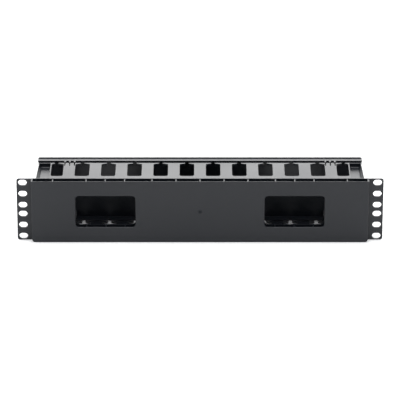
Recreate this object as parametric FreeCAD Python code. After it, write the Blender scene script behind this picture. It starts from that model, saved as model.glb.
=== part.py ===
import FreeCAD, Part
import math
import os

# Horizontal cable manager, two rack units high, moulded in black ABS.
#
# Millimetres. +Z is up, +Y points to the front cover, +X to the right seen from the rear.
# The origin is the centre of the rack ears' rear faces, the plane that seats on the rack.
#
# base:  one moulding. Panel with rack ears, rear pan with two pass-through windows,
#        finger duct with twelve T-slots above and below, open-ended arms, hinge pins.
# cover: one moulding. Front plate with two flanges and twelve hooks that clip on the pins.

V = FreeCAD.Vector

# ---- driving dimensions -------------------------------------------------------------

# Panel and ears
PANEL_WIDTH = 481.0
PANEL_HEIGHT = 87.1
PANEL_THICK = 2.2
PANEL_CORNER_R = 3.0
EAR_SLOT_X = 232.55
EAR_SLOT_Z = (6.35, 22.225, 38.1)
EAR_SLOT_WIDTH = 11.3
EAR_SLOT_HEIGHT = 8.1

# Rear pan, which passes between the rack rails
PAN_HALF_WIDTH = 221.0
PAN_DEPTH = 8.3
PAN_TOP = 43.2
PAN_BOTTOM = -43.9
PAN_FOOT_R = 4.0
SKIN_THICK = 2.0
SKIN_LIP = 0.6             # flat left on the skin's top and bottom edges by their inner bevel
SKIN_BEVEL_DROP = 0.8
HOLLOW_FRONT = 1.0         # the pan's hollow thins the panel by this much
RIB_THICK = 1.3
RIB_RECESS = 0.2
RIB_X = (0.0, 31.4, 62.8, 98.6, 123.9, 149.1, 192.7)
WINDOW_X = 124.05
WINDOW_WIDTH = 78.7
WINDOW_HEIGHT = 44.6
WINDOW_R = 5.0
GATE_R = 1.9               # moulding gate, a dimple in the middle of the skin
GATE_DEPTH = 0.5

# Finger duct
DUCT_HALF = 43.25          # outer face of the finger walls, from mid height
WALL_THICK = 2.2
FINGER_PITCH = 34.5
SLOTS_PER_SIDE = 6
SLOT_WIDTH = 19.1
SLOT_START = 10.0          # near end of the slots
SLOT_CORNER_R = 3.6
SHOULDER_START = 49.6
SHOULDER_END = 52.2
SHOULDER_R = 1.8
NECK_WIDTH = 4.8
HEAD_END = 54.3            # front edge of the finger heads
TONGUE_END = 62.6          # the heads step in and go on as tongues under the cover
TONGUE_OUTER = 40.9
TONGUE_THICK = 2.0

# End arms, beyond the last slots
ARM_OUTER_X = 215.25       # at the panel; the arm's outer face draws in towards the front
ARM_DRAFT = 1.7            # over the length of the arm
ARM_SIDE = 1.0             # outer wall at its top
ARM_WALL = 2.0             # front wall and floor
ARM_FRONT = 53.2           # the arm's top edge ends here, behind the line of the heads
CHEEK_X = 196.2            # inner face of the arm's inner wall
CHEEK_THICK = 1.5          # at its top
CHEEK_LEAN = 0.6           # more at its foot
POCKET_FLOOR = 37.1
POCKET_FRONT = 52.4
POCKET_R = 2.0             # between floor and front wall
POCKET_SLOPE = 3.0         # slanted foot of the outer wall

# Hinge
HINGE_FINGER = 5           # the finger between the last two slots, counted from the middle
HINGE_SPACING = 6.3
NOTCH_FRONT = 2.7          # where the hooks turn, between the tongues
NOTCH_MIDDLE = 1.9
NOTCH_BACK = 1.0
NOTCH_START = 44.4
PIN_R = 0.85
PIN_Y = 59.2
PIN_Z = 40.3
PIN_CLEARANCE = 0.08
HOOK_THICK = 2.0
HOOK_BACK = 2.6            # reach of the hook's two arms behind the pin's axis
HOOK_DROP = 2.4            # depth of the hook inside the pin's axis
HOOK_ROOT_DROP = 5.5
HOOK_NOSE = 0.6            # bevel on the hook's tip
MOUTH_FLARE = 5.0          # degrees, each side

# Cover
COVER_HALF_WIDTH = 215.2
COVER_HALF_HEIGHT = 44.3
COVER_CORNER_R = 2.4
COVER_REAR = 69.8
COVER_THICK = 2.0
FLANGE_OUTER = 43.1
FLANGE_THICK = 1.8
FLANGE_REAR = 61.7

EASE = 0.5                 # small bevel along the moulding's long outer edges
OVERLAP = 0.5              # how far fused pieces of one moulding run into each other


# ---- helpers ------------------------------------------------------------------------

def rounded_wire(corners):
    """Closed wire through (point, radius) corners, each rounded by a tangent arc."""
    count = len(corners)
    starts, ends, arcs = [], [], []
    for i in range(count):
        before, (here, radius), after = corners[i - 1][0], corners[i], corners[(i + 1) % count][0]
        if radius == 0:
            starts.append(here)
            ends.append(here)
            arcs.append(None)
            continue
        to_before = (before - here).normalize()
        to_after = (after - here).normalize()
        half_angle = to_before.getAngle(to_after) / 2
        run = radius / math.tan(half_angle)
        inward = (to_before + to_after).normalize()
        centre = here + inward * (radius / math.sin(half_angle))
        first = here + to_before * run
        last = here + to_after * run
        starts.append(first)
        ends.append(last)
        arcs.append(Part.Arc(first, centre - inward * radius, last).toShape())
    edges = []
    for i in range(count):
        if arcs[i]:
            edges.append(arcs[i])
        following = starts[(i + 1) % count]
        if ends[i].distanceToPoint(following) > 1e-6:
            edges.append(Part.LineSegment(ends[i], following).toShape())
    return Part.Wire(edges)


def solid_in_plane(corners, direction):
    """Solid from (point, radius) corners, swept straight along a direction."""
    return Part.Face(rounded_wire(corners)).extrude(direction)


def solid_along_x(outline, x0, x1):
    """Solid with a sharp-cornered (y, z) outline, between two places along X."""
    return solid_in_plane([(V(x0, y, z), 0) for y, z in outline], V(x1 - x0, 0, 0))


def upright_slab(x0, x1, z0, z1, y0, y1, top_r=0.0, foot_r=0.0):
    """Slab facing the rear, with its top and bottom corners rounded."""
    corners = [(V(x0, y0, z0), foot_r), (V(x1, y0, z0), foot_r),
               (V(x1, y0, z1), top_r), (V(x0, y0, z1), top_r)]
    return solid_in_plane(corners, V(0, y1 - y0, 0))


def box(x0, x1, y0, y1, z0, z1):
    """Plain box between two corners."""
    return Part.makeBox(x1 - x0, y1 - y0, z1 - z0, V(x0, y0, z0))


def mirrored(shape, normal):
    """Copy of a shape, mirrored in the plane through the origin with this normal."""
    return shape.mirror(V(0, 0, 0), normal)


def with_mirrors(shapes, normals):
    """The shapes together with their mirror images in each plane in turn."""
    for normal in normals:
        shapes = shapes + [mirrored(shape, normal) for shape in shapes]
    return shapes


LEFT_RIGHT = V(1, 0, 0)
UP_DOWN = V(0, 0, 1)


# ---- panel and rear pan ---------------------------------------------------------------

def ear_slots():
    """Twelve oblong rack holes through the ears."""
    half_width, half_height = EAR_SLOT_WIDTH / 2, EAR_SLOT_HEIGHT / 2
    slots = [upright_slab(EAR_SLOT_X - half_width, EAR_SLOT_X + half_width,
                          z - half_height, z + half_height,
                          -1, PANEL_THICK + 1, half_height, half_height) for z in EAR_SLOT_Z]
    return with_mirrors(slots, [LEFT_RIGHT, UP_DOWN])


def panel():
    """Panel with the rack ears at its ends."""
    half_width, half_height = PANEL_WIDTH / 2, PANEL_HEIGHT / 2
    slab = upright_slab(-half_width, half_width, -half_height, half_height,
                        0, PANEL_THICK, PANEL_CORNER_R, PANEL_CORNER_R)
    return slab.cut(ear_slots())


def rear_pan():
    """Raised block behind the panel, before it is hollowed, with its side and bottom rims eased."""
    block = upright_slab(-PAN_HALF_WIDTH, PAN_HALF_WIDTH, PAN_BOTTOM, PAN_TOP,
                         -PAN_DEPTH, OVERLAP, 0, PAN_FOOT_R)
    rim = [edge for edge in block.Edges if edge.BoundBox.YMax < -PAN_DEPTH + 1e-6
           and edge.BoundBox.ZMin < PAN_TOP - 1e-6]
    return block.makeChamfer(EASE, rim)


def pan_hollow():
    """Hollow between skin and panel, open above and below, with the skin's edges bevelled."""
    half_width = PAN_HALF_WIDTH - SKIN_THICK
    skin_front, lip = SKIN_THICK - PAN_DEPTH, SKIN_LIP - PAN_DEPTH
    top, bottom = PAN_TOP - SKIN_BEVEL_DROP, PAN_BOTTOM + SKIN_BEVEL_DROP
    outline = [(skin_front, bottom), (lip, PAN_BOTTOM), (lip, -PANEL_HEIGHT),
               (HOLLOW_FRONT, -PANEL_HEIGHT), (HOLLOW_FRONT, PANEL_HEIGHT), (lip, PANEL_HEIGHT),
               (lip, PAN_TOP), (skin_front, top)]
    return solid_along_x(outline, -half_width, half_width)


def pan_ribs():
    """Ribs across the hollow."""
    places = sorted({side * x for x in RIB_X for side in (-1, 1)})
    return [box(x - RIB_THICK / 2, x + RIB_THICK / 2,
                SKIN_THICK - PAN_DEPTH - OVERLAP, HOLLOW_FRONT + OVERLAP,
                PAN_BOTTOM + RIB_RECESS, PAN_TOP - RIB_RECESS) for x in places]


def windows():
    """Two pass-through openings, through the skin and the panel."""
    half_width, half_height = WINDOW_WIDTH / 2, WINDOW_HEIGHT / 2
    opening = upright_slab(WINDOW_X - half_width, WINDOW_X + half_width,
                           -half_height, half_height,
                           -PAN_DEPTH - 1, PANEL_THICK + 1, WINDOW_R, WINDOW_R)
    return with_mirrors([opening], [LEFT_RIGHT])


def gate_dimple():
    """Shallow dimple round the place where the mould was filled."""
    return Part.makeCone(GATE_R, GATE_R - GATE_DEPTH, GATE_DEPTH, V(0, -PAN_DEPTH, 0), V(0, 1, 0))


def rear():
    """Panel and pan as one, with the windows' rear rims eased."""
    shape = panel().fuse(rear_pan()).cut(pan_hollow()).fuse(pan_ribs()).cut(windows())
    inside = WINDOW_HEIGHT / 2 + EASE
    rims = [edge for edge in shape.Edges if edge.BoundBox.YMax < -PAN_DEPTH + 1e-6
            and edge.BoundBox.ZMax < inside and edge.BoundBox.ZMin > -inside]
    return shape.makeChamfer(EASE, rims).cut(gate_dimple())


# ---- finger duct ----------------------------------------------------------------------

def finger_wall():
    """Upper duct wall, with heads that step in to a tongue under the cover's flange."""
    inner = DUCT_HALF - WALL_THICK
    tongue_inner = TONGUE_OUTER - TONGUE_THICK
    outline = [(PANEL_THICK - OVERLAP, inner), (PANEL_THICK - OVERLAP, DUCT_HALF),
               (HEAD_END - EASE, DUCT_HALF), (HEAD_END, DUCT_HALF - EASE),
               (HEAD_END, TONGUE_OUTER), (TONGUE_END, TONGUE_OUTER),
               (TONGUE_END, tongue_inner), (HEAD_END - WALL_THICK, tongue_inner),
               (HEAD_END - WALL_THICK, inner)]
    end = ARM_OUTER_X - ARM_DRAFT
    return solid_along_x(outline, -end, end)


def finger_slot(centre, left_half, right_half):
    """T-slot: a wide stem, then shoulders sloping in to a neck that is open to the front."""
    neck, front = NECK_WIDTH / 2, TONGUE_END + 1
    outline = [(-left_half, SLOT_START, SLOT_CORNER_R), (right_half, SLOT_START, SLOT_CORNER_R),
               (right_half, SHOULDER_START, SHOULDER_R), (neck, SHOULDER_END, 0),
               (neck, front, 0), (-neck, front, 0),
               (-neck, SHOULDER_END, 0), (-left_half, SHOULDER_START, SHOULDER_R)]
    corners = [(V(centre + x, y, TONGUE_OUTER - 2 * TONGUE_THICK), r) for x, y, r in outline]
    return solid_in_plane(corners, V(0, 0, 4 * WALL_THICK))


def finger_slots():
    """Twelve T-slots; the arm's inner wall clips the outer side of the last ones."""
    half = SLOT_WIDTH / 2
    slots = []
    for i in range(SLOTS_PER_SIDE):
        centre = (i + 0.5) * FINGER_PITCH
        slots.append(finger_slot(centre, half, min(half, CHEEK_X - centre)))
    return with_mirrors(slots, [LEFT_RIGHT])


def hinge_places():
    """X of the three hooks at each end of the duct."""
    middle = HINGE_FINGER * FINGER_PITCH
    return [side * (middle + i * HINGE_SPACING) for side in (-1, 1) for i in (-1, 0, 1)]


def hinge_notches():
    """Tapered notches in the hinge fingers, one for each hook."""
    front, middle, back = NOTCH_FRONT / 2, NOTCH_MIDDLE / 2, NOTCH_BACK / 2
    outline = [(-back, NOTCH_START), (back, NOTCH_START), (middle, HEAD_END), (front, HEAD_END),
               (front, TONGUE_END + 1), (-front, TONGUE_END + 1), (-front, HEAD_END),
               (-middle, HEAD_END)]
    notches = []
    for place in hinge_places():
        corners = [(V(place + x, y, TONGUE_OUTER - 2 * TONGUE_THICK), 0) for x, y in outline]
        notches.append(solid_in_plane(corners, V(0, 0, 4 * WALL_THICK)))
    return notches


def hinge_pins():
    """Short cross-pins moulded into the notches."""
    length = NOTCH_FRONT + 2 * OVERLAP
    return [Part.makeCylinder(PIN_R, length, V(place - length / 2, PIN_Y, PIN_Z), V(1, 0, 0))
            for place in hinge_places()]


def along_arm(corners):
    """Solid drawn out beside the arm's drafted outer face from (X, Z) corners."""
    rear, length = PANEL_THICK - OVERLAP, POCKET_FRONT + ARM_WALL - PANEL_THICK + OVERLAP
    return solid_in_plane([(V(x, rear, z), 0) for x, z in corners], V(-ARM_DRAFT, length, 0))


def end_arm():
    """Right upper arm: a deep channel that stiffens the duct's open end."""
    below, inner = POCKET_FLOOR - ARM_WALL, CHEEK_X + ARM_DRAFT
    drafted = along_arm([(inner, below), (ARM_OUTER_X, below), (ARM_OUTER_X, DUCT_HALF - EASE),
                         (ARM_OUTER_X - EASE, DUCT_HALF), (inner, DUCT_HALF)])
    cheek = box(CHEEK_X, CHEEK_X + 2 * ARM_DRAFT, PANEL_THICK - OVERLAP,
                POCKET_FRONT + ARM_WALL, below, DUCT_HALF)
    return drafted.fuse(cheek)


def arm_pocket():
    """Hollow of the arm, its floor rounded up into the front wall."""
    left, right = CHEEK_X + CHEEK_THICK, ARM_OUTER_X - ARM_SIDE
    above = 2 * DUCT_HALF - POCKET_FLOOR
    outline = [((PANEL_THICK, POCKET_FLOOR), 0), ((POCKET_FRONT, POCKET_FLOOR), POCKET_R),
               ((POCKET_FRONT, above), 0), ((PANEL_THICK, above), 0)]
    corners = [(V(CHEEK_X, y, z), radius) for (y, z), radius in outline]
    lengthwise = solid_in_plane(corners, V(right - CHEEK_X, 0, 0))
    crosswise = along_arm([(CHEEK_X, POCKET_FLOOR), (right - POCKET_SLOPE, POCKET_FLOOR),
                           (right, POCKET_FLOOR + POCKET_SLOPE), (right, above), (CHEEK_X, above)])
    beside_cheek = [(left + CHEEK_LEAN, POCKET_FLOOR), (right, POCKET_FLOOR), (right, above),
                    (left - CHEEK_LEAN, above)]
    leaning = solid_in_plane([(V(x, 0, z), 0) for x, z in beside_cheek], V(0, POCKET_FRONT, 0))
    return lengthwise.common(crosswise).common(leaning)


def arm_rebate():
    """What is missing from the row of heads in front of the arm."""
    return box(CHEEK_X + CHEEK_THICK, ARM_OUTER_X + 1, ARM_FRONT, HEAD_END + 1,
               TONGUE_OUTER, DUCT_HALF + 1)


def upper_duct():
    """Upper finger wall with its arms, slots, notches and pins."""
    arms = with_mirrors([end_arm()], [LEFT_RIGHT])
    hollows = with_mirrors([arm_pocket(), arm_rebate()], [LEFT_RIGHT])
    duct = finger_wall().fuse(arms).cut(hollows + finger_slots() + hinge_notches())
    return duct.fuse(hinge_pins())


def base():
    """The whole base moulding."""
    ducts = with_mirrors([upper_duct()], [UP_DOWN])
    return rear().fuse(ducts).removeSplitter()


# ---- cover ----------------------------------------------------------------------------

def cover_plate():
    """Front plate with its front edge eased."""
    plate = upright_slab(-COVER_HALF_WIDTH, COVER_HALF_WIDTH, -COVER_HALF_HEIGHT, COVER_HALF_HEIGHT,
                         COVER_REAR, COVER_REAR + COVER_THICK, COVER_CORNER_R, COVER_CORNER_R)
    front = COVER_REAR + COVER_THICK
    rim = [edge for edge in plate.Edges if edge.BoundBox.YMin > front - 1e-6]
    return plate.makeChamfer(EASE, rim)


def cover_flange():
    """Upper flange, which lies over the tongues."""
    inner = FLANGE_OUTER - FLANGE_THICK
    outline = [(FLANGE_REAR, inner), (COVER_REAR + OVERLAP, inner),
               (COVER_REAR + OVERLAP, FLANGE_OUTER), (FLANGE_REAR, FLANGE_OUTER)]
    return solid_along_x(outline, -COVER_HALF_WIDTH, COVER_HALF_WIDTH)


def cover_hook(place):
    """Upper hook: a rib off the plate and flange whose open end clips over a pin."""
    x0 = place - HOOK_THICK / 2
    tail = PIN_Y - HOOK_BACK
    foot = PIN_Z - HOOK_DROP
    outline = [(tail, foot), (PIN_Y + HOOK_BACK, foot),
               (COVER_REAR + OVERLAP, foot - HOOK_ROOT_DROP),
               (COVER_REAR + OVERLAP, FLANGE_OUTER), (tail + HOOK_NOSE, FLANGE_OUTER),
               (tail, FLANGE_OUTER - HOOK_NOSE)]
    rib = solid_along_x(outline, x0, x0 + HOOK_THICK)
    seat_r = PIN_R + PIN_CLEARANCE
    seat = Part.makeCylinder(seat_r, HOOK_THICK, V(x0, PIN_Y, PIN_Z), V(1, 0, 0))
    reach = HOOK_BACK + 1
    flare = reach * math.tan(math.radians(MOUTH_FLARE))
    mouth = [(PIN_Y, PIN_Z - seat_r), (PIN_Y, PIN_Z + seat_r),
             (PIN_Y - reach, PIN_Z + seat_r + flare), (PIN_Y - reach, PIN_Z - seat_r - flare)]
    return rib.cut([seat, solid_along_x(mouth, x0, x0 + HOOK_THICK)])


def cover():
    """The whole cover moulding."""
    upper = [cover_flange()] + [cover_hook(place) for place in hinge_places()]
    return cover_plate().fuse(with_mirrors(upper, [UP_DOWN])).removeSplitter()


# ---- output ---------------------------------------------------------------------------

os.makedirs("parts", exist_ok=True)
for name, shape in (("base", base()), ("cover", cover())):
    solid = shape.Solids[0]
    if len(shape.Solids) != 1 or not solid.isValid():
        raise ValueError(f"{name} isn't one valid solid")
    solid.exportStep(f"parts/{name}.step")
    size = solid.BoundBox
    print(f"{name}: {solid.Volume / 1000:.1f} cm3, {len(solid.Faces)} faces, "
          f"{size.XLength:.1f} x {size.YLength:.1f} x {size.ZLength:.1f} mm")
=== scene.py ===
import math

import bpy
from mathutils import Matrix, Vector


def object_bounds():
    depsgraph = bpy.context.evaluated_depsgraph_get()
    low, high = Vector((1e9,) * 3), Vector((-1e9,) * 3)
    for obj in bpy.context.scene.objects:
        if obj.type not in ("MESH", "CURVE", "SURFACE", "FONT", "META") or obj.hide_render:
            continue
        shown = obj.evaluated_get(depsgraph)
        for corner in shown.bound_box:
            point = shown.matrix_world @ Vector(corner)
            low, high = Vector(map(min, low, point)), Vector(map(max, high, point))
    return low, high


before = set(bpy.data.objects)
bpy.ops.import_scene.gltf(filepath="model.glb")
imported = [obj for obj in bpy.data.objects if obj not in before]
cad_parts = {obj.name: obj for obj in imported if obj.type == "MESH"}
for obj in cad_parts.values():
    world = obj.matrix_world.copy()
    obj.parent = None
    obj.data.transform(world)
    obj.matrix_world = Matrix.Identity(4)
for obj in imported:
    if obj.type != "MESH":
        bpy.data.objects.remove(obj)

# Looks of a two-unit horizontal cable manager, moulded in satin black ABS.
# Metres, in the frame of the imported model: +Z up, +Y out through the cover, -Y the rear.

MM = 0.001
CAD_LOW, CAD_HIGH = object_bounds()
SCENE = bpy.context.scene


# ---- small helpers ------------------------------------------------------------------

def linear(hex_colour):
    """Linear RGBA from an sRGB hex value."""
    levels = [int(hex_colour[i:i + 2], 16) / 255 for i in (1, 3, 5)]
    return [v / 12.92 if v <= 0.04045 else ((v + 0.055) / 1.055) ** 2.4 for v in levels] + [1.0]


def add_node(tree, kind, links=(), **settings):
    """Adds a node, sets its properties and input values by name, and links its inputs."""
    node = tree.nodes.new(kind)
    for key, value in settings.items():
        if hasattr(node, key):
            setattr(node, key, value)
        else:
            node.inputs[key.replace("_", " ")].default_value = value
    for socket, source in links:
        tree.links.new(source, node.inputs[socket])
    return node


def new_material(name):
    """Empty node material with an output, ready for its shader."""
    material = bpy.data.materials.new(name)
    material.use_nodes = True
    tree = material.node_tree
    tree.nodes.clear()
    return material, tree, tree.nodes.new("ShaderNodeOutputMaterial")


# ---- moulded plastic ----------------------------------------------------------------

SPARK_GRAIN = 0.55 * MM    # spark-eroded mould texture; the true 0.1 mm grain is too fine to show
FLOW_PATCH = 70 * MM       # size of the slow gloss changes that the melt's flow leaves
EDGE_ROUND = 0.35 * MM     # radius at which such a mould's edges come out
GRAIN_HEIGHT = 0.02 * MM
GRAIN_STRENGTH = 0.25
GATE_TEAR = 3.6 * MM       # radius of the dull patch where the sprue was torn off
GATE_CORE = 0.4            # share of that radius that is dull all over
SPECULAR, DULL_SPECULAR = 0.5, 0.28
GLOSS_DRIFT = 0.025        # change of roughness along the flow, either way
NOISE_SPAN = 0.3, 0.7      # where nearly all values of the slow noise lie
ABS_IOR = 1.53


def moulded_abs(name, colour, roughness, gate=None):
    """ABS, injection moulded in a spark-eroded tool: an even satin black whose fine grain
    spreads highlights into a soft sheen, with gloss that drifts slowly along the flow. Round
    the gate, where the torn plastic traps light, a small patch looks darker and dull."""
    material, tree, output = new_material(name)
    place = add_node(tree, "ShaderNodeTexCoord").outputs["Object"]
    drift = add_node(tree, "ShaderNodeTexNoise", [("Vector", place)],
                     Scale=1 / FLOW_PATCH, Detail=2.0, Roughness=0.5)
    gloss = add_node(tree, "ShaderNodeMapRange", [("Value", drift.outputs["Fac"])],
                     From_Min=NOISE_SPAN[0], From_Max=NOISE_SPAN[1],
                     To_Min=roughness - GLOSS_DRIFT, To_Max=roughness + GLOSS_DRIFT)
    tint = add_node(tree, "ShaderNodeMix", [("Factor", drift.outputs["Fac"])], data_type="RGBA")
    tint.inputs["A"].default_value = linear(colour[0])
    tint.inputs["B"].default_value = linear(colour[1])
    grain = add_node(tree, "ShaderNodeTexNoise", [("Vector", place)],
                     Scale=1 / SPARK_GRAIN, Detail=3.0, Roughness=0.6)
    eased = add_node(tree, "ShaderNodeBevel", samples=6, Radius=EDGE_ROUND)
    bump = add_node(tree, "ShaderNodeBump",
                    [("Height", grain.outputs["Fac"]), ("Normal", eased.outputs["Normal"])],
                    Strength=GRAIN_STRENGTH, Distance=GRAIN_HEIGHT)
    shader = add_node(tree, "ShaderNodeBsdfPrincipled",
                      [("Base Color", tint.outputs["Result"]), ("Roughness", gloss.outputs["Result"]),
                       ("Normal", bump.outputs["Normal"])], Metallic=0.0, IOR=ABS_IOR)
    if gate:
        away = add_node(tree, "ShaderNodeVectorMath", [(0, place)], operation="DISTANCE")
        away.inputs[1].default_value = gate
        sheen = add_node(tree, "ShaderNodeMapRange", [("Value", away.outputs["Value"])],
                         interpolation_type="SMOOTHSTEP", From_Min=GATE_CORE * GATE_TEAR,
                         From_Max=GATE_TEAR, To_Min=DULL_SPECULAR, To_Max=SPECULAR)
        tree.links.new(sheen.outputs["Result"], shader.inputs["Specular IOR Level"])
    tree.links.new(shader.outputs["BSDF"], output.inputs["Surface"])
    return material


# ---- studio -------------------------------------------------------------------------

FLOOR_SIZE = 14.0
FLOOR_LIFT = 0.3           # white that the eye alone sees added to the paper
# painted shade: over the footprint and this strip the floor gets little or no lift, so it reads darker
# there
PAINTED_SHADE_MARGIN = 3 * MM      # strip round the duct's footprint over which the floor's lift sets in
SWEEP_START, SWEEP_END = 0.5, 1.5    # metres out, where the paper turns into the white sweep
SWEEP_COLOUR = "#ffffff"
ROOM_COLOUR = "#666a72"
CAMERA_HEIGHT_ANGLE = math.radians(23.79)
CAMERA_DISTANCE = 3.84
CAMERA_LENS = 263.0        # on a 36 mm frame
AIM = Vector((0.0, 0.0050, 0.0111))


def white_floor():
    """Pale studio floor. It reads as white to the eye, which sees a lift that sets in round the duct's
    footprint and grows to full white far out. The lift is left off over the footprint and the strip
    round it, a painted shade beneath the duct that adds to the natural shade there."""
    material, tree, output = new_material("matt_white_paper")
    ray = add_node(tree, "ShaderNodeLightPath")
    paper = add_node(tree, "ShaderNodeBsdfDiffuse", Color=linear("#f4f4f4"))
    place = add_node(tree, "ShaderNodeTexCoord").outputs["Object"]
    half_width = max(corner[0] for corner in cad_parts["cover"].bound_box)
    middle = Vector((0, CAD_HIGH.y / 2, CAD_LOW.z))    # from the ears' rear face, y = 0, to the front
    half_span = Vector((half_width, CAD_HIGH.y / 2, 0))
    across = add_node(tree, "ShaderNodeVectorMath", [(0, place)], operation="SUBTRACT")
    across.inputs[1].default_value = middle
    beside = add_node(tree, "ShaderNodeVectorMath", [(0, across.outputs[0])], operation="ABSOLUTE")
    beyond = add_node(tree, "ShaderNodeVectorMath", [(0, beside.outputs[0])], operation="SUBTRACT")
    beyond.inputs[1].default_value = half_span
    outside = add_node(tree, "ShaderNodeVectorMath", [(0, beyond.outputs[0])], operation="MAXIMUM")
    gap = add_node(tree, "ShaderNodeVectorMath", [(0, outside.outputs[0])], operation="LENGTH")
    # painted shade: the lift is zero over the footprint and rises across the margin, darkening the floor
    # under and round the duct
    painted_shade_lift = add_node(tree, "ShaderNodeMapRange", [("Value", gap.outputs["Value"])],
                        From_Min=0.0, From_Max=PAINTED_SHADE_MARGIN, To_Min=0.0, To_Max=FLOOR_LIFT)
    sweep = add_node(tree, "ShaderNodeMapRange", [("Value", gap.outputs["Value"])],
                     From_Min=SWEEP_START, From_Max=SWEEP_END)
    total = add_node(tree, "ShaderNodeMath",
                     [(0, painted_shade_lift.outputs["Result"]), (1, sweep.outputs["Result"])], operation="MAXIMUM")
    lift = add_node(tree, "ShaderNodeEmission", [("Strength", total.outputs[0])],
                    Color=linear("#ffffff"))
    seen = add_node(tree, "ShaderNodeAddShader", [(0, paper.outputs[0]), (1, lift.outputs[0])])
    mix = add_node(tree, "ShaderNodeMixShader",
                   [("Fac", ray.outputs["Is Camera Ray"]), (1, paper.outputs[0]), (2, seen.outputs[0])])
    tree.links.new(mix.outputs[0], output.inputs["Surface"])
    half = FLOOR_SIZE / 2
    z = CAD_LOW.z
    mesh = bpy.data.meshes.new("studio_floor")
    mesh.from_pydata([(-half, -half, z), (half, -half, z), (half, half, z), (-half, half, z)],
                     [], [(0, 1, 2, 3)])
    mesh.materials.append(material)
    floor = bpy.data.objects.new("studio_floor", mesh)
    SCENE.collection.objects.link(floor)


def studio_world():
    """White sweep beyond the object and a dim, cool room behind the lens; the eye itself
    sees only white."""
    world = bpy.data.worlds.new("studio")
    world.use_nodes = True
    tree = world.node_tree
    tree.nodes.clear()
    ray = add_node(tree, "ShaderNodeLightPath")
    direction = add_node(tree, "ShaderNodeTexCoord").outputs["Generated"]
    split = add_node(tree, "ShaderNodeSeparateXYZ", [(0, direction)])
    depth = add_node(tree, "ShaderNodeMapRange", [("Value", split.outputs["Y"])],
                     interpolation_type="SMOOTHSTEP", From_Min=-0.5, From_Max=0.5)
    walls = add_node(tree, "ShaderNodeMix", [("Factor", depth.outputs["Result"])], data_type="RGBA")
    walls.inputs["A"].default_value = linear(ROOM_COLOUR)
    walls.inputs["B"].default_value = linear(SWEEP_COLOUR)
    room = add_node(tree, "ShaderNodeBackground", [("Color", walls.outputs["Result"])], Strength=1.0)
    white = add_node(tree, "ShaderNodeBackground", Color=linear("#ffffff"), Strength=1.0)
    mix = add_node(tree, "ShaderNodeMixShader",
                   [("Fac", ray.outputs["Is Camera Ray"]), (1, room.outputs[0]), (2, white.outputs[0])])
    add_node(tree, "ShaderNodeOutputWorld", [("Surface", mix.outputs[0])])
    SCENE.world = world


def soft_box(name, place, aim, size, watts):
    """Rectangular studio light at a place, turned to its aim."""
    light = bpy.data.lights.new(name, "AREA")
    light.shape = "RECTANGLE"
    light.size, light.size_y = size
    light.energy = watts
    lamp = bpy.data.objects.new(name, light)
    lamp.location = place
    lamp.rotation_euler = (Vector(aim) - Vector(place)).to_track_quat("-Z", "Y").to_euler()
    SCENE.collection.objects.link(lamp)


def studio_camera():
    """Long lens from behind the panel, a little above it."""
    data = bpy.data.cameras.new("camera")
    data.lens = CAMERA_LENS
    data.sensor_width = 36.0
    data.clip_end = 50.0
    camera = bpy.data.objects.new("camera", data)
    forward = Vector((0, math.cos(CAMERA_HEIGHT_ANGLE), -math.sin(CAMERA_HEIGHT_ANGLE)))
    camera.location = AIM - forward * CAMERA_DISTANCE
    camera.rotation_euler = forward.to_track_quat("-Z", "Y").to_euler()
    SCENE.collection.objects.link(camera)
    SCENE.camera = camera


# ---- making -------------------------------------------------------------------------

studio_camera()
white_floor()
studio_world()
soft_box("overhead_soft_box", (0, -0.6, 2.4), (0, 0, 0), (3.2, 2.2), 60)
soft_box("back_soft_box", (0, 3.0, 1.5), (0, 0, 0), (3.6, 2.4), 95)

for node, gate in (("base", (0, CAD_LOW.y, 0)), ("cover", None)):
    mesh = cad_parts[node].data
    mesh.materials.clear()
    mesh.materials.append(moulded_abs(f"{node}_satin_black_abs", ("#11151c", "#14181f"), 0.42, gate))

SCENE.view_settings.view_transform = "Standard"
